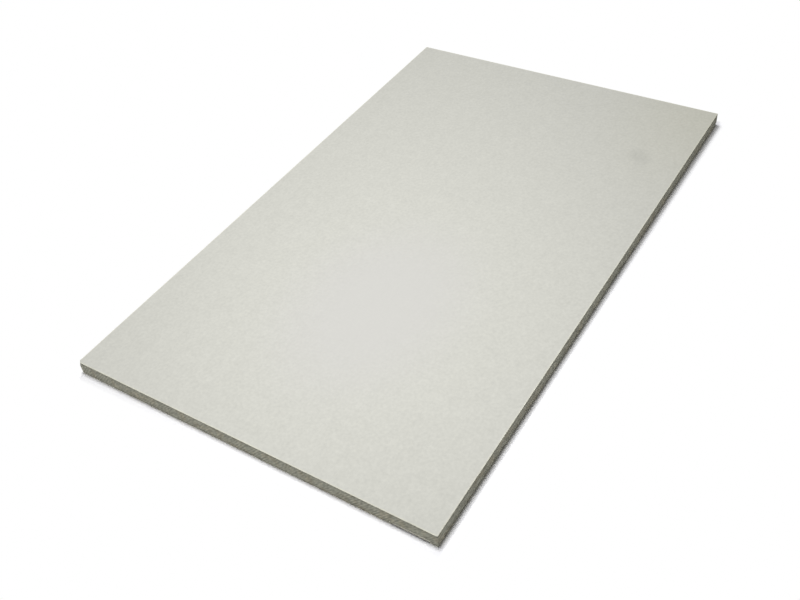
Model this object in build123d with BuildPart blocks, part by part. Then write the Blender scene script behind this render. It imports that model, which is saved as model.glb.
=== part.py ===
# Drywall sheet: one flat rectangular panel, cut square on all four sides.
# Millimetres. The origin is the middle of the back face, where the sheet rests;
# +X runs along the long edges, +Y along the short edges and +Z out of the front face.
from build123d import *
import os

# Overall size of the cut sheet
sheet_length = 526.0
sheet_width = 322.0
sheet_thickness = 12.5

# The corners are nearly as sharp as the knife left them
corner_radius = 0.4

# The tip of the corner at -X, +Y is knocked off, this far along both edges of the
# front face and this far down the corner
knock_reach = 2.0
knock_depth = 5.0

# The paper rolls a little over the cut, on the front face and on the back face
front_arris_radius = 0.25
back_arris_radius = 0.2

with BuildPart() as drywall_sheet:
    # The board is cut from one slab, so its plan runs through its whole thickness
    with BuildSketch(Plane.XY):
        Rectangle(sheet_length, sheet_width)
    extrude(amount=sheet_thickness)

    # The four upright corners
    fillet(drywall_sheet.edges().filter_by(Axis.Z), radius=corner_radius)

    # The knock is a small flat that leans back over the sheet, from its foot on the corner to the front face
    knock_foot = (-sheet_length / 2, sheet_width / 2, sheet_thickness - knock_depth)
    knock_lean = knock_reach / knock_depth
    split(bisect_by=Plane(origin=knock_foot, z_dir=(-1, 1, knock_lean)), keep=Keep.BOTTOM)

    # Arrises of the front and the back face, round all the corners in one loop
    front_face = drywall_sheet.faces().sort_by(Axis.Z)[-1]
    fillet(front_face.edges(), radius=front_arris_radius)
    back_face = drywall_sheet.faces().sort_by(Axis.Z)[0]
    fillet(back_face.edges(), radius=back_arris_radius)

os.makedirs("parts", exist_ok=True)
drywall_sheet.part.label = "drywall_sheet"
export_step(drywall_sheet.part, "parts/drywall_sheet.step")
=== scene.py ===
import bisect
import math

import bmesh
import bpy
from mathutils import Matrix, Vector, noise


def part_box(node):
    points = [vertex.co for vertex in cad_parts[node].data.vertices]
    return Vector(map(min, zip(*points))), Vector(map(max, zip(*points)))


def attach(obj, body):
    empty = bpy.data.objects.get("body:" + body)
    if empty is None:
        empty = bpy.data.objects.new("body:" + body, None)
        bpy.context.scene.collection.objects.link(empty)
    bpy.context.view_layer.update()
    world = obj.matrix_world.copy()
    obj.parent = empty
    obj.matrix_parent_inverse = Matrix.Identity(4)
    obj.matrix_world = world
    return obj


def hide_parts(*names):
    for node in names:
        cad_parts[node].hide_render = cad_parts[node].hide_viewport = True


MM = 0.001

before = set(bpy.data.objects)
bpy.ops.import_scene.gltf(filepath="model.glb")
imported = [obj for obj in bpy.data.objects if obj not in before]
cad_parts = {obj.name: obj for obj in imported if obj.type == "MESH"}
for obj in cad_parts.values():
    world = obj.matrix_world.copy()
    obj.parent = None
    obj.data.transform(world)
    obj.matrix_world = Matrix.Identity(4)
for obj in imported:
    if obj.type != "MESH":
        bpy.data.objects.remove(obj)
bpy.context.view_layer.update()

# The sheet's box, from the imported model
SHEET_LOW, SHEET_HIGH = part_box("drywall_sheet")
LENGTH = SHEET_HIGH.x - SHEET_LOW.x
WIDTH = SHEET_HIGH.y - SHEET_LOW.y
THICKNESS = SHEET_HIGH.z - SHEET_LOW.z

# Plan: four nearly sharp corners, and the tip knocked off the one at -X, +Y
CORNER_ROUND = 0.4 * MM
CORNER_SEGMENTS = 3
KNOCK_REACH = 2.0 * MM
KNOCK_DEPTH = 5.0 * MM

# The foot of the corner at +X, -Y is crushed: this far along both edges and this far up
CRUSHED_REACH = 4.0 * MM
CRUSHED_RISE = 5.0 * MM

# Section of the cut edge: paper, bare core, paper
FRONT_PAPER = 0.5 * MM
BACK_PAPER = 0.45 * MM
FRONT_ARRIS = 0.18 * MM
FRONT_ARRIS_STEPS = 3
BACK_ARRIS = 0.2 * MM
BACK_ARRIS_STEPS = 2
PAPER_UNDERCUT = 0.06 * MM
CORE_SETBACK = 0.06 * MM
CORE_ROWS = 16

# How far apart the upright cuts are, and how near a point has to be to count as on a cut or in a row
EDGE_STEP = 0.75 * MM
CUT_TOLERANCE = 1e-7
ROW_TOLERANCE = 0.002 * MM

# A face whose normal is more upright than this is the front or the back of the sheet
FLAT_ENOUGH = 0.9

# Relief of the bare core: its depth is a mean share and three sizes of lumps
CRUMBLE_DEPTH = 0.45 * MM
CRUMBLE_MEAN = 0.34
GRAIN = dict(size=0.9 * MM, shift=(0.0, 0.0, 0.0))
GRAIN_SHARE = 0.42
CLOD = dict(size=2.2 * MM, shift=(7.3, 2.1, 5.9))
CLOD_SHARE = 0.30
BAY = dict(size=14 * MM, shift=(1.7, 9.2, 3.3))
BAY_SHARE = 0.18
FIRM_CORNER = 5 * MM

# The paper's cut edge wanders, and is nicked here and there
PAPER_FRAY = 0.06 * MM
FRAY_MEAN = 0.35
WANDER = dict(size=6 * MM, shift=(4.4, 8.1, 0.6))
WANDER_SHARE = 0.45
NICK = dict(size=1.3 * MM, shift=(2.2, 6.5, 9.1))
NICK_SHARE = 0.35

# The saw's marks on the two ends lean this far from upright. Relief and strokes are drawn out
# this many times along the saw's marks on an end, and along the sheet on a long side
SAW_LEAN = math.radians(42)
SAW_STRETCH = 3.0
SNAP_STRETCH = 2.6

# The back paper has come loose along the foot of the left end, next to the front corner:
# a lip of it, paler and partly a painted highlight, leans out over a gap painted dark as shade, and dwindles
# at both its ends
LOOSE_START = 4 * MM
LOOSE_END = 38 * MM
LOOSE_FADE = 6 * MM
LOOSE_GAP_TOP = 1.0 * MM
LOOSE_GAP_DEPTH = 0.45 * MM
LOOSE_LIP = 1.25 * MM
LOOSE_LIP_TOP = 2.0 * MM

# The share of the lip's height that its tears leave. At its two ends the lip is all the way down,
# and that starts as soon as the paper is a little loose
LIP_MEAN = 0.75
LIP_LEAST = 0.1
LIP_TEAR = dict(size=2.4 * MM, shift=(3.1, 5.2, 7.7))
LIP_TEAR_SHARE = 0.6
LIP_END_QUICKNESS = 50

# How loose the paper is where the lip and the gap start to have their own materials: the gap's dark is
# painted shade, and the lip's pale is partly a painted highlight
LIP_SHOWS_FROM = 0.1
GAP_SHOWS_FROM = 0.4

# Places of the materials on the board
FRONT_LINING, BACK_LINING, SAWN_CORE, SNAPPED_CORE, TORN_LIP_AND_HIGHLIGHT, TORN_GAP_PAINTED_SHADE = range(6)


def clamped(value, least=0.0):
    """The value, held between the least one and 1."""
    return min(max(value, least), 1.0)


def lumps(place, size, shift):
    """Smooth random lumps of a size, from about -1 to 1."""
    return noise.noise(place / size + Vector(shift))


def arris_rows(radius, steps):
    """(depth, height) of a quarter round, from the flat side up to the face."""
    turns = [math.pi / 2 * step / steps for step in range(steps + 1)]
    return [(radius * (1 - math.cos(turn)), radius * math.sin(turn)) for turn in turns]


def edge_section():
    """Rows of the edge from the back face up: (depth behind the box, height, whether it crumbles)."""
    rows = []
    for depth, rise in reversed(arris_rows(BACK_ARRIS, BACK_ARRIS_STEPS)):
        rows.append((depth, BACK_ARRIS - rise, False))
    rows.append((0.0, BACK_PAPER, False))
    core_foot = BACK_PAPER + PAPER_UNDERCUT
    core_top = THICKNESS - FRONT_PAPER - PAPER_UNDERCUT
    for row in range(CORE_ROWS + 1):
        height = core_foot + (core_top - core_foot) * row / CORE_ROWS
        rows.append((CORE_SETBACK, height, True))
    rows.append((0.0, THICKNESS - FRONT_PAPER, False))
    for depth, rise in arris_rows(FRONT_ARRIS, FRONT_ARRIS_STEPS):
        rows.append((depth, THICKNESS - FRONT_ARRIS + rise, False))
    return rows


def is_at_end(point):
    """Whether a point of the edge is on one of the two sawn ends, and not on a long side."""
    return abs(point.x) > LENGTH / 2 - KNOCK_REACH and abs(point.y) < WIDTH / 2 - CORNER_ROUND / 2


def streaked(point):
    """The point on a lattice drawn out along the saw's marks, or along the sheet on a long side."""
    if not is_at_end(point):
        return Vector((point.x / SNAP_STRETCH, point.y, point.z))
    across = point.y * math.cos(SAW_LEAN) + point.z * math.sin(SAW_LEAN)
    along = point.z * math.cos(SAW_LEAN) - point.y * math.sin(SAW_LEAN)
    return Vector((point.x, across, along / SAW_STRETCH))


def firmness(point):
    """How much of its crumbling an edge shows: none at a corner, all of it a little way off."""
    from_corner = max(LENGTH / 2 - abs(point.x), WIDTH / 2 - abs(point.y))
    return min(from_corner / FIRM_CORNER, 1.0)


def crumble(point):
    """How deep the core has broken away at a point of the edge."""
    marks = streaked(point)
    share = CRUMBLE_MEAN + GRAIN_SHARE * lumps(marks, **GRAIN) + CLOD_SHARE * lumps(marks, **CLOD)
    share += BAY_SHARE * lumps(point, **BAY)
    return CRUMBLE_DEPTH * clamped(share) * firmness(point)


def fray(point):
    """How far the paper's cut edge wanders inwards at a point."""
    place = Vector((point.x, point.y, 0.0))
    share = FRAY_MEAN + WANDER_SHARE * lumps(place, **WANDER) + NICK_SHARE * lumps(place, **NICK)
    return PAPER_FRAY * clamped(share)


def looseness(point):
    """How far the back paper has come away from the core at a point of the edge, from 0 to 1."""
    if not is_at_end(point) or point.x > 0:
        return 0.0
    from_corner = point.y - SHEET_LOW.y
    inside = min(from_corner - LOOSE_START, LOOSE_END - from_corner)
    return clamped(inside / LOOSE_FADE)


def loosened(point, depth):
    """The depth at a point of the edge, with the loose paper's gap and the slant of its lip worked in."""
    if point.z > LOOSE_LIP_TOP:
        return depth
    torn_depth = LOOSE_GAP_DEPTH if point.z < LOOSE_GAP_TOP else max(point.z - LOOSE_LIP, 0.0)
    return depth + looseness(point) * (torn_depth - depth)


def lip_drop(point):
    """How far the torn top of the loose lip comes down at a point: ragged, and all the way at its ends."""
    if not LOOSE_GAP_TOP < point.z < LOOSE_LIP_TOP:
        return 0.0
    place = Vector((point.x, point.y, 0.0))
    tears = LIP_MEAN + LIP_TEAR_SHARE * lumps(place, **LIP_TEAR)
    left = looseness(point) * clamped(tears, LIP_LEAST)
    begun = min(looseness(point) * LIP_END_QUICKNESS, 1.0)
    return (1 - left) * max(point.z - LOOSE_LIP, 0.0) * begun


def all_of(board):
    """Everything that the board is made of, for an operator that cuts it."""
    return board.verts[:] + board.edges[:] + board.faces[:]


def slice_off(board, place, outward):
    """Cut away all of the board beyond a plane, and close it with a flat."""
    cut = bmesh.ops.bisect_plane(board, geom=all_of(board), dist=CUT_TOLERANCE, plane_co=place,
                                 plane_no=outward, clear_outer=True)
    rim = [part for part in cut["geom_cut"] if isinstance(part, bmesh.types.BMEdge)]
    bmesh.ops.edgeloop_fill(board, edges=rim)


def shape_slab(board):
    """A box of the sheet's size with its corners rounded, its tip knocked off and its foot crushed."""
    bmesh.ops.create_cube(board, size=1.0)
    bmesh.ops.scale(board, vec=(LENGTH, WIDTH, THICKNESS), verts=board.verts)
    bmesh.ops.translate(board, vec=(SHEET_LOW + SHEET_HIGH) / 2, verts=board.verts)

    uprights = [edge for edge in board.edges
                if abs(edge.verts[0].co.z - edge.verts[1].co.z) > THICKNESS / 2]
    bmesh.ops.bevel(board, geom=uprights, offset=CORNER_ROUND, offset_type="OFFSET",
                    segments=CORNER_SEGMENTS, profile=0.5, affect="EDGES", material=-1)

    # The knocked tip leans back over the sheet, and the crushed foot leans in under it
    slice_off(board, (SHEET_LOW.x, SHEET_HIGH.y, SHEET_HIGH.z - KNOCK_DEPTH),
              (-1, 1, KNOCK_REACH / KNOCK_DEPTH))
    slice_off(board, (SHEET_HIGH.x, SHEET_LOW.y, SHEET_LOW.z + CRUSHED_RISE),
              (1, -1, -CRUSHED_REACH / CRUSHED_RISE))


def cut_up_edge(board, heights):
    """Cut the edge band level at each row and upright along the straight runs."""
    # The two flat faces come off meanwhile, so that no cut runs across them
    flats = [face for face in board.faces if abs(face.normal.z) > FLAT_ENOUGH]
    bmesh.ops.delete(board, geom=flats, context="FACES_ONLY")
    for height in heights[1:-1]:
        bmesh.ops.bisect_plane(board, geom=all_of(board), dist=CUT_TOLERANCE, plane_co=(0, 0, height),
                               plane_no=(0, 0, 1))
    for axis in (0, 1):
        runs = [edge for edge in board.edges
                if abs(edge.verts[0].co[axis] - edge.verts[1].co[axis]) > WIDTH / 2]
        cuts = int(runs[0].calc_length() / EDGE_STEP)
        bmesh.ops.subdivide_edges(board, edges=runs, cuts=cuts, use_grid_fill=False)
    bmesh.ops.edgeloop_fill(board, edges=[edge for edge in board.edges if edge.is_boundary])


def level_outward(vert):
    """The outline's own normal at a point of the edge."""
    away = Vector((0.0, 0.0, 0.0))
    for face in vert.link_faces:
        if abs(face.normal.z) < FLAT_ENOUGH:
            away += face.normal
    away.z = 0.0
    return away.normalized()


def roughen_edge(board, section, heights):
    """Set each row of the edge in to its depth, crumbled, frayed or torn loose."""
    outward = {vert: level_outward(vert) for vert in board.verts}
    for vert in board.verts:
        depth, height, crumbles = section[bisect.bisect_left(heights, vert.co.z - ROW_TOLERANCE)]
        depth += crumble(vert.co) if crumbles else fray(vert.co)
        drop = lip_drop(vert.co)
        vert.co -= outward[vert] * loosened(vert.co, depth)
        vert.co.z -= drop


def finish_at(middle):
    """The material of the face with this middle."""
    if middle.z > THICKNESS - FRONT_PAPER - PAPER_UNDERCUT / 2:
        return FRONT_LINING
    # The loose lip: paler torn paper, partly a painted highlight
    if looseness(middle) > LIP_SHOWS_FROM and LOOSE_GAP_TOP < middle.z < LOOSE_LIP_TOP:
        return TORN_LIP_AND_HIGHLIGHT
    # The gap under the lip: a dark material, painted shade
    if looseness(middle) > GAP_SHOWS_FROM and 0 < middle.z < LOOSE_GAP_TOP:
        return TORN_GAP_PAINTED_SHADE
    if middle.z < BACK_PAPER + PAPER_UNDERCUT / 2:
        return BACK_LINING
    return SAWN_CORE if is_at_end(middle) else SNAPPED_CORE


def make_board():
    """The whole sheet as one mesh: flat faces, cut paper edges and the crumbled core between them."""
    board = bmesh.new()
    section = edge_section()
    heights = [height for depth, height, crumbles in section]
    shape_slab(board)
    cut_up_edge(board, heights)
    roughen_edge(board, section, heights)
    for face in board.faces:
        # All but the two flats and a few odd faces of the edge have four corners at most
        face.smooth = len(face.verts) <= 4
        face.material_index = finish_at(face.calc_center_median())
    bmesh.ops.recalc_face_normals(board, faces=board.faces)

    mesh = bpy.data.meshes.new("cut_board")
    board.to_mesh(mesh)
    board.free()
    piece = bpy.data.objects.new("cut_board", mesh)
    bpy.context.scene.collection.objects.link(piece)
    return piece


# Every finish is this matt, because paper and plaster have next to no gloss
MATT_ROUGHNESS = 0.9
MATT_SHEEN = 0.2

# Noise and waves swing about this value
MIDDLE_TONE = 0.5

# The colour inputs and the colour output of a Mix node, which share their names with its others
MIX_FIRST = 6
MIX_SECOND = 7
MIX_RESULT = 2


class Nodes:
    """Short hands for building one material's node tree."""

    def __init__(self, name):
        self.material = bpy.data.materials.new(name)
        self.material.use_nodes = True
        self.tree = self.material.node_tree
        self.tree.nodes.clear()
        self.output = self.tree.nodes.new("ShaderNodeOutputMaterial")

    def node(self, kind, **settings):
        """A new node of a kind, with these settings."""
        made = self.tree.nodes.new(kind)
        for key, value in settings.items():
            setattr(made, key, value)
        return made

    def link(self, source, target):
        self.tree.links.new(source, target)

    def math(self, operation, *values):
        """The result of one operation; each value is a number or another node's socket."""
        made = self.node("ShaderNodeMath", operation=operation)
        for place, value in enumerate(values):
            if isinstance(value, (int, float)):
                made.inputs[place].default_value = value
            else:
                self.link(value, made.inputs[place])
        return made.outputs[0]

    def weighed(self, *parts):
        """The sum of some values, each times its share."""
        first, *others = [self.math("MULTIPLY", value, share) for value, share in parts]
        for other in others:
            first = self.math("ADD", first, other)
        return first

    def place(self, middle=(0, 0, 0), turn=(0, 0, 0), stretch=(1, 1, 1)):
        """Object coordinates counted from a middle, turned, and drawn out along each axis."""
        coordinate = self.node("ShaderNodeTexCoord")
        mapping = self.node("ShaderNodeMapping", vector_type="TEXTURE")
        mapping.inputs["Location"].default_value = middle
        mapping.inputs["Rotation"].default_value = turn
        mapping.inputs["Scale"].default_value = stretch
        self.link(coordinate.outputs["Object"], mapping.inputs["Vector"])
        return mapping.outputs["Vector"]

    def apart(self, vector):
        """The three parts of a vector."""
        made = self.node("ShaderNodeSeparateXYZ")
        self.link(vector, made.inputs[0])
        return made.outputs

    def length(self, first, second):
        """The length of a level line that goes this far each way."""
        squares = [self.math("MULTIPLY", side, side) for side in (first, second)]
        return self.math("SQRT", self.math("ADD", *squares))

    def step(self, value, start, end):
        """A smooth step from 0 at start to 1 at end."""
        made = self.node("ShaderNodeMapRange", interpolation_type="SMOOTHSTEP")
        made.inputs["From Min"].default_value = min(start, end)
        made.inputs["From Max"].default_value = max(start, end)
        made.inputs["To Min"].default_value = 0.0 if start < end else 1.0
        made.inputs["To Max"].default_value = 1.0 if start < end else 0.0
        self.link(value, made.inputs["Value"])
        return made.outputs["Result"]

    def noise(self, size, start=(0, 0, 0), turn=(0, 0, 0), stretch=(1, 1, 1), detail=2.0, roughness=0.5):
        """Noise of this size. A start of its own keeps it from lining up with the other noises."""
        made = self.node("ShaderNodeTexNoise")
        self.link(self.place(start, turn, stretch), made.inputs["Vector"])
        made.inputs["Scale"].default_value = 1 / size
        made.inputs["Detail"].default_value = detail
        made.inputs["Roughness"].default_value = roughness
        return made.outputs["Fac"]

    def patch(self, middle, half_size, turn=0.0, soft=1.0, ragged=0.0):
        """An oval patch of the face: 1 in its middle and 0 beyond its rim."""
        across, along, up = self.apart(self.place((*middle, 0), (0, 0, turn), (*half_size, 1)))
        reach = self.length(across, along)
        if ragged:
            wander = self.math("SUBTRACT", self.noise(half_size[1] / 2), MIDDLE_TONE)
            reach = self.math("ADD", reach, self.math("MULTIPLY", wander, ragged))
        return self.step(reach, 1.0, 1.0 - soft)

    def rim(self, width, ragged, wander_size):
        """1 at the outline of the face, falling to 0 a little way in."""
        across, along, up = self.apart(self.place())
        from_end = self.math("SUBTRACT", LENGTH / 2, self.math("ABSOLUTE", across))
        from_side = self.math("SUBTRACT", WIDTH / 2, self.math("ABSOLUTE", along))
        inwards = self.math("MINIMUM", from_end, from_side)
        wander = self.math("MULTIPLY", self.noise(wander_size), ragged)
        return self.step(self.math("ADD", inwards, wander), width + ragged, ragged / 2)

    def ramp(self, factor, tones, dark, light):
        """A colour from dark to light, as the factor goes from the first of two tones to the second."""
        made = self.node("ShaderNodeValToRGB")
        for element, tone, colour in zip(made.color_ramp.elements, tones, (dark, light)):
            element.position = tone
            element.color = (*colour, 1)
        self.link(factor, made.inputs["Fac"])
        return made.outputs["Color"]

    def mix(self, factor, first, second, blend="MIX"):
        """Two colours, mixed; each value is a number, a colour or another node's socket."""
        made = self.node("ShaderNodeMix", data_type="RGBA", blend_type=blend)
        sockets = (made.inputs["Factor"], made.inputs[MIX_FIRST], made.inputs[MIX_SECOND])
        for socket, value in zip(sockets, (factor, first, second)):
            if isinstance(value, (int, float)):
                socket.default_value = value
            elif isinstance(value, tuple):
                socket.default_value = (*value, 1)
            else:
                self.link(value, socket)
        return made.outputs[MIX_RESULT]

    def tinted(self, mask, colour, tint):
        """The colour, multiplied by a tint where the mask is 1."""
        return self.mix(mask, colour, self.mix(1.0, colour, tint, "MULTIPLY"))

    def matt(self, colour, height, depth, strength):
        """Finish the material as a matt surface with this colour and this relief."""
        relief = self.node("ShaderNodeBump")
        relief.inputs["Strength"].default_value = strength
        relief.inputs["Distance"].default_value = depth
        self.link(height, relief.inputs["Height"])
        shader = self.node("ShaderNodeBsdfPrincipled")
        shader.inputs["Roughness"].default_value = MATT_ROUGHNESS
        shader.inputs["Specular IOR Level"].default_value = MATT_SHEEN
        self.link(colour, shader.inputs["Base Color"])
        self.link(relief.outputs["Normal"], shader.inputs["Normal"])
        self.link(shader.outputs[0], self.output.inputs["Surface"])
        return self.material


# Lining paper: its noises, the share that each has in its tone, and the tones of its two colours
FIBRES = dict(size=1.2 * MM, detail=3.0, roughness=0.6)
FIBRE_SHARE = 0.22
FLECKS = dict(size=2.6 * MM, start=(0.2, 0.4, 0))
FLECK_SHARE = 0.55
MOTTLE = dict(size=8 * MM, start=(0.3, 0.1, 0))
MOTTLE_SHARE = 0.23
PAPER_TONES = (0.20, 0.80)
PAPER_RELIEF = dict(depth=0.08 * MM, strength=0.25)

# Face of the sheet: broad changes across it. The cool patch is a cooler tint painted where the light falls
# brightest, and the paper turns warmer toward the corner at +X, -Y
CALM_PATCH = dict(middle=(-0.100, -0.016), half_size=(0.125, 0.085), soft=0.8)
CALMED = 0.80
PAINTED_COOL_LIGHT_PATCH = dict(middle=(-0.105, -0.012), half_size=(0.135, 0.100), soft=0.7)
PAINTED_COOL_LIGHT_TINT = (1.0, 0.992, 1.024)
WARM_CORNER = dict(middle=(0.270, -0.165), half_size=(0.190, 0.130), soft=1.0)
WARM_TINT = (1.0, 0.995, 0.950)
SMUDGE = dict(middle=(0.167, -0.1225), half_size=(0.020, 0.013), turn=math.radians(35), soft=0.7, ragged=0.7)
SMUDGE_TINT = (0.930, 0.932, 0.935)

# The pale line at the arris: paler cut fibre, and partly a painted highlight along the edge
ARRIS_FIBRE_AND_HIGHLIGHT = dict(width=1.0 * MM, ragged=0.8 * MM, wander_size=3 * MM)
ARRIS_FIBRE_AND_HIGHLIGHT_TINT = (1.160, 1.150, 1.080)

# Bare core: its noises, the share that each has in its tone, and the tones of its two colours
CORE_GRAINS = dict(size=0.8 * MM, detail=3.0, roughness=0.6)
CORE_GRAIN_SHARE = 0.25
CORE_STROKES = dict(size=1.25 * MM, start=(0.1, 0.3, 0), detail=0.0)
CORE_STROKE_SHARE = 0.55
CORE_CLODS = dict(size=3.4 * MM, start=(0.5, 0.2, 0))
CORE_CLOD_SHARE = 0.20
CORE_TONES = (0.30, 0.70)
CORE_DARK = (0.320, 0.318, 0.258)
CORE_LIGHT = (0.600, 0.595, 0.495)
CORE_RELIEF = dict(depth=0.15 * MM, strength=0.5)

# Saw marks on the ends, deeper in some stretches of the edge than in others.
# One wave of a wave texture of scale 1 is WAVE_LENGTH metres long
SAW_MARK_PITCH = 2.0 * MM
SAW_MARK_DISTORTION = 1.4
SAW_MARK_DETAIL = 1.0
SAW_MARK_STRENGTH = 0.22
SCORED = dict(size=11 * MM, start=(0.9, 0.2, 0), detail=1.0)
SCORED_SPREAD = (0.35, 0.65)
WAVE_LENGTH = math.pi / 10

# Some stretches of the core are browner
BROWNED = dict(size=7 * MM, start=(0.7, 0.6, 0), detail=1.0)
BROWNED_SPREAD = (0.45, 0.70)
BROWNED_SHARE = 0.6
BROWN_TINT = (1.06, 0.985, 0.90)

# Painted shade: the core is darker toward the front paper, as shade under the paper's lip, between these
# depths below the front face
PAINTED_LIP_SHADE_START = 3.4 * MM
PAINTED_LIP_SHADE_FULL = 1.4 * MM
PAINTED_LIP_SHADE_TINT = (0.78, 0.78, 0.78)


def paper_material(name, dark, light):
    """Lining paper: short fibres pressed flat, with a faint mottle and flecks."""
    nodes = Nodes(name)
    fibres = nodes.noise(**FIBRES)
    flecks = nodes.noise(**FLECKS)
    mottle = nodes.noise(**MOTTLE)
    tone = nodes.weighed((fibres, FIBRE_SHARE), (flecks, FLECK_SHARE), (mottle, MOTTLE_SHARE))
    lively = nodes.math("SUBTRACT", 1.0, nodes.math("MULTIPLY", nodes.patch(**CALM_PATCH), CALMED))
    swing = nodes.math("MULTIPLY", nodes.math("SUBTRACT", tone, MIDDLE_TONE), lively)
    colour = nodes.ramp(nodes.math("ADD", swing, MIDDLE_TONE), PAPER_TONES, dark, light)
    # Painted light: a cooler tint where the light falls brightest
    colour = nodes.tinted(nodes.patch(**PAINTED_COOL_LIGHT_PATCH), colour, PAINTED_COOL_LIGHT_TINT)
    colour = nodes.tinted(nodes.patch(**WARM_CORNER), colour, WARM_TINT)
    colour = nodes.tinted(nodes.patch(**SMUDGE), colour, SMUDGE_TINT)
    # Paler cut fibre at the arris, partly a painted highlight along the edge
    colour = nodes.tinted(nodes.rim(**ARRIS_FIBRE_AND_HIGHLIGHT), colour, ARRIS_FIBRE_AND_HIGHLIGHT_TINT)
    return nodes.matt(colour, fibres, **PAPER_RELIEF)


def saw_marks(nodes, turn, stretch, strength):
    """Rows of teeth marks, to be added to the core's tone."""
    teeth = nodes.node("ShaderNodeTexWave", wave_type="BANDS", bands_direction="Y")
    nodes.link(nodes.place(turn=turn, stretch=stretch), teeth.inputs["Vector"])
    teeth.inputs["Scale"].default_value = WAVE_LENGTH / SAW_MARK_PITCH
    teeth.inputs["Distortion"].default_value = SAW_MARK_DISTORTION
    teeth.inputs["Detail"].default_value = SAW_MARK_DETAIL
    swing = nodes.math("SUBTRACT", teeth.outputs["Fac"], MIDDLE_TONE)
    scored = nodes.step(nodes.noise(**SCORED), *SCORED_SPREAD)
    return nodes.math("MULTIPLY", swing, nodes.math("MULTIPLY", scored, strength))


def core_material(name, turn, stretch, marked):
    """Bare core at the cut: olive to brownish grey and granular, marked along the way it was cut."""
    nodes = Nodes(name)
    grains = nodes.noise(turn=turn, stretch=stretch, **CORE_GRAINS)
    strokes = nodes.noise(turn=turn, stretch=stretch, **CORE_STROKES)
    clods = nodes.noise(**CORE_CLODS)
    tone = nodes.weighed((grains, CORE_GRAIN_SHARE), (strokes, CORE_STROKE_SHARE), (clods, CORE_CLOD_SHARE))
    tone = nodes.math("ADD", tone, saw_marks(nodes, turn, stretch, marked))
    colour = nodes.ramp(tone, CORE_TONES, CORE_DARK, CORE_LIGHT)
    brown = nodes.step(nodes.noise(**BROWNED), *BROWNED_SPREAD)
    colour = nodes.tinted(nodes.math("MULTIPLY", brown, BROWNED_SHARE), colour, BROWN_TINT)
    # Painted shade: the core is darker just under the front paper's lip
    across, along, up = nodes.apart(nodes.place())
    painted_lip_shade = nodes.step(up, THICKNESS - PAINTED_LIP_SHADE_START, THICKNESS - PAINTED_LIP_SHADE_FULL)
    colour = nodes.tinted(painted_lip_shade, colour, PAINTED_LIP_SHADE_TINT)
    return nodes.matt(colour, grains, **CORE_RELIEF)


# Studio floor: the white that throws light back at the sheet, and the one that the camera sees
FLOOR_SIZE = 12.0
FLOOR_WHITE = (0.90, 0.90, 0.90)
FLOOR_WHITE_SEEN = (1.45, 1.45, 1.50)

# The shadow fades out between these distances from the sheet, and sooner on its far side
SHADOW_REACH = 3 * MM
SHADOW_END = 9 * MM
FAR_SIDE_FADE = 5.0

# Light; share is the part of a full white that a lamp gives where it faces the sheet
AMBIENT = 0.11
STRAIGHT_DOWN = (0.0, 0.0, -1.0)
NEAR_LAMP = dict(place=(-0.202, -0.057, 0.591), size=0.165, share=0.600)
HIGH_LAMP = dict(place=(0.276, 0.206, 0.835), size=0.311, share=0.550)
SIDE_LAMP = dict(place=(-1.30, 0.30, 0.22), size=0.30, share=0.120, facing=(1.0, 0.0, -0.16))


def floor_material():
    """White studio floor that the camera sees as plain white, apart from the shadow close to the sheet."""
    nodes = Nodes("studio_floor")
    across, along, up = nodes.apart(nodes.place())
    past_end = nodes.math("SUBTRACT", nodes.math("ABSOLUTE", across), LENGTH / 2)
    near_side = nodes.math("SUBTRACT", nodes.math("MULTIPLY", along, -1.0), WIDTH / 2)
    far_side = nodes.math("MULTIPLY", nodes.math("SUBTRACT", along, WIDTH / 2), FAR_SIDE_FADE)
    past_side = nodes.math("MAXIMUM", near_side, far_side)
    distance = nodes.length(nodes.math("MAXIMUM", past_end, 0.0), nodes.math("MAXIMUM", past_side, 0.0))
    rays = nodes.node("ShaderNodeLightPath").outputs
    seen_far = nodes.math("MULTIPLY", nodes.step(distance, SHADOW_REACH, SHADOW_END), rays["Is Camera Ray"])
    lit = nodes.node("ShaderNodeBsdfDiffuse")
    nodes.link(nodes.mix(rays["Is Camera Ray"], FLOOR_WHITE, FLOOR_WHITE_SEEN), lit.inputs["Color"])
    plain = nodes.node("ShaderNodeEmission")
    plain.inputs["Strength"].default_value = 1.0
    blend = nodes.node("ShaderNodeMixShader")
    nodes.link(seen_far, blend.inputs["Fac"])
    nodes.link(lit.outputs[0], blend.inputs[1])
    nodes.link(plain.outputs[0], blend.inputs[2])
    nodes.link(blend.outputs[0], nodes.output.inputs["Surface"])
    return nodes.material


def make_floor():
    """The floor that the sheet lies on, which is no part of the sheet."""
    ground = bmesh.new()
    bmesh.ops.create_grid(ground, x_segments=1, y_segments=1, size=FLOOR_SIZE / 2)
    mesh = bpy.data.meshes.new("studio_floor")
    ground.to_mesh(mesh)
    ground.free()
    mesh.materials.append(floor_material())
    floor = bpy.data.objects.new("studio_floor", mesh)
    bpy.context.scene.collection.objects.link(floor)


def make_lamp(name, place, size, share, facing=STRAIGHT_DOWN):
    """A square soft lamp, as strong as its share asks at its own distance from the sheet."""
    reach = place[2] - THICKNESS
    if facing != STRAIGHT_DOWN:
        reach = Vector(place).length - LENGTH / 2
    lamp = bpy.data.lights.new(name, "AREA")
    lamp.shape = "SQUARE"
    lamp.size = size
    lamp.energy = share * math.pi ** 2 * reach ** 2
    lamp_object = bpy.data.objects.new(name, lamp)
    lamp_object.location = place
    lamp_object.rotation_euler = Vector(facing).to_track_quat("-Z", "Y").to_euler()
    lamp_object.visible_camera = False
    bpy.context.scene.collection.objects.link(lamp_object)


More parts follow.
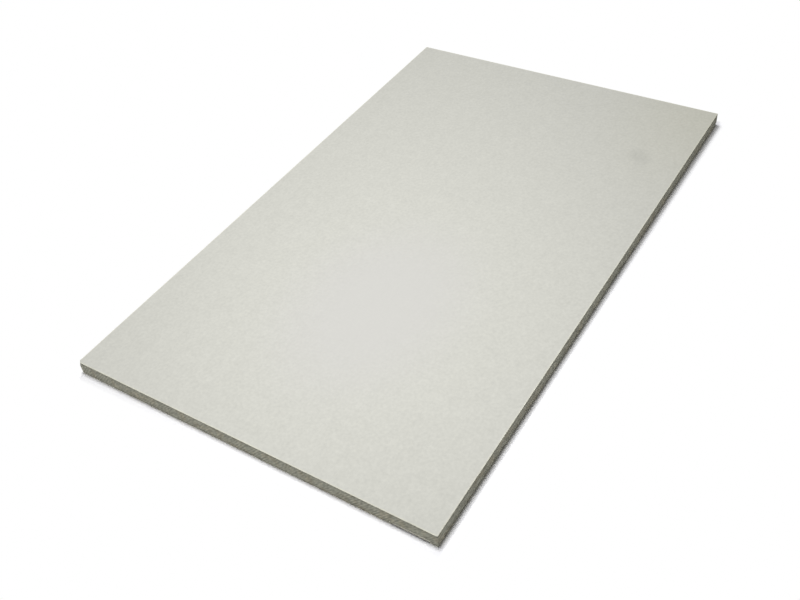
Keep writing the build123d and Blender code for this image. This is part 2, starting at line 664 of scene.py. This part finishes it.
def make_world():
    """Soft light from all round, which the camera itself sees as a white background."""
    world = bpy.data.worlds.new("studio_air")
    bpy.context.scene.world = world
    world.use_nodes = True
    tree = world.node_tree
    tree.nodes.clear()
    rays = tree.nodes.new("ShaderNodeLightPath")
    strength = tree.nodes.new("ShaderNodeMix")
    strength.inputs["A"].default_value = AMBIENT
    strength.inputs["B"].default_value = 1.0
    background = tree.nodes.new("ShaderNodeBackground")
    background.inputs["Color"].default_value = (1, 1, 1, 1)
    output = tree.nodes.new("ShaderNodeOutputWorld")
    tree.links.new(rays.outputs["Is Camera Ray"], strength.inputs["Factor"])
    tree.links.new(strength.outputs["Result"], background.inputs["Strength"])
    tree.links.new(background.outputs[0], output.inputs["Surface"])


# Camera: the photograph's view, in degrees, metres and millimetres of lens
CAMERA_AZIMUTH = -53.282
CAMERA_ELEVATION = 43.314
CAMERA_ROLL = -6.839
CAMERA_DISTANCE = 0.7562
CAMERA_AIM = (-0.0912, -0.0259)
CAMERA_LENS = 42.95
CAMERA_CLIP = 0.01
SENSOR_WIDTH = 36.0


def make_camera():
    """The photograph's camera, rolled a little about its own line of sight."""
    turn, rise = math.radians(CAMERA_AZIMUTH), math.radians(CAMERA_ELEVATION)
    back = Vector((math.sin(turn) * math.cos(rise), -math.cos(turn) * math.cos(rise), math.sin(rise)))
    aim = Vector((*CAMERA_AIM, THICKNESS))
    data = bpy.data.cameras.new("camera")
    data.sensor_width = SENSOR_WIDTH
    data.lens = CAMERA_LENS
    data.clip_start = CAMERA_CLIP
    camera = bpy.data.objects.new("camera", data)
    bpy.context.scene.collection.objects.link(camera)
    level = (-back).to_track_quat("-Z", "Y").to_matrix().to_4x4()
    roll = Matrix.Rotation(math.radians(CAMERA_ROLL), 4, "Z")
    camera.matrix_world = Matrix.Translation(aim + back * CAMERA_DISTANCE) @ level @ roll
    bpy.context.scene.camera = camera


board = make_board()
board_finishes = {
    FRONT_LINING: paper_material("front_lining", (0.635, 0.634, 0.580), (0.785, 0.783, 0.720)),
    BACK_LINING: paper_material("back_lining", (0.560, 0.545, 0.480), (0.700, 0.684, 0.610)),
    SAWN_CORE: core_material("sawn_core", (SAW_LEAN, 0, 0), (1, 1, SAW_STRETCH), SAW_MARK_STRENGTH),
    SNAPPED_CORE: core_material("snapped_core", (0, 0, 0), (SNAP_STRETCH, 1, 1), 0.0),
    # Torn lip: paler torn paper, partly a painted highlight
    TORN_LIP_AND_HIGHLIGHT: paper_material("torn_lip_and_painted_highlight", (0.800, 0.785, 0.715), (0.930, 0.915, 0.845)),
    # Gap under the loose lip: a dark material, painted shade
    TORN_GAP_PAINTED_SHADE: paper_material("torn_gap_painted_shade", (0.110, 0.108, 0.092), (0.190, 0.186, 0.160)),
}
for finish in sorted(board_finishes):
    board.data.materials.append(board_finishes[finish])
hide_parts("drywall_sheet")
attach(board, "root")

make_floor()
make_world()
make_lamp("near_lamp", **NEAR_LAMP)
make_lamp("high_lamp", **HIGH_LAMP)
make_lamp("side_lamp", **SIDE_LAMP)
make_camera()

bpy.context.scene.view_settings.view_transform = "Standard"
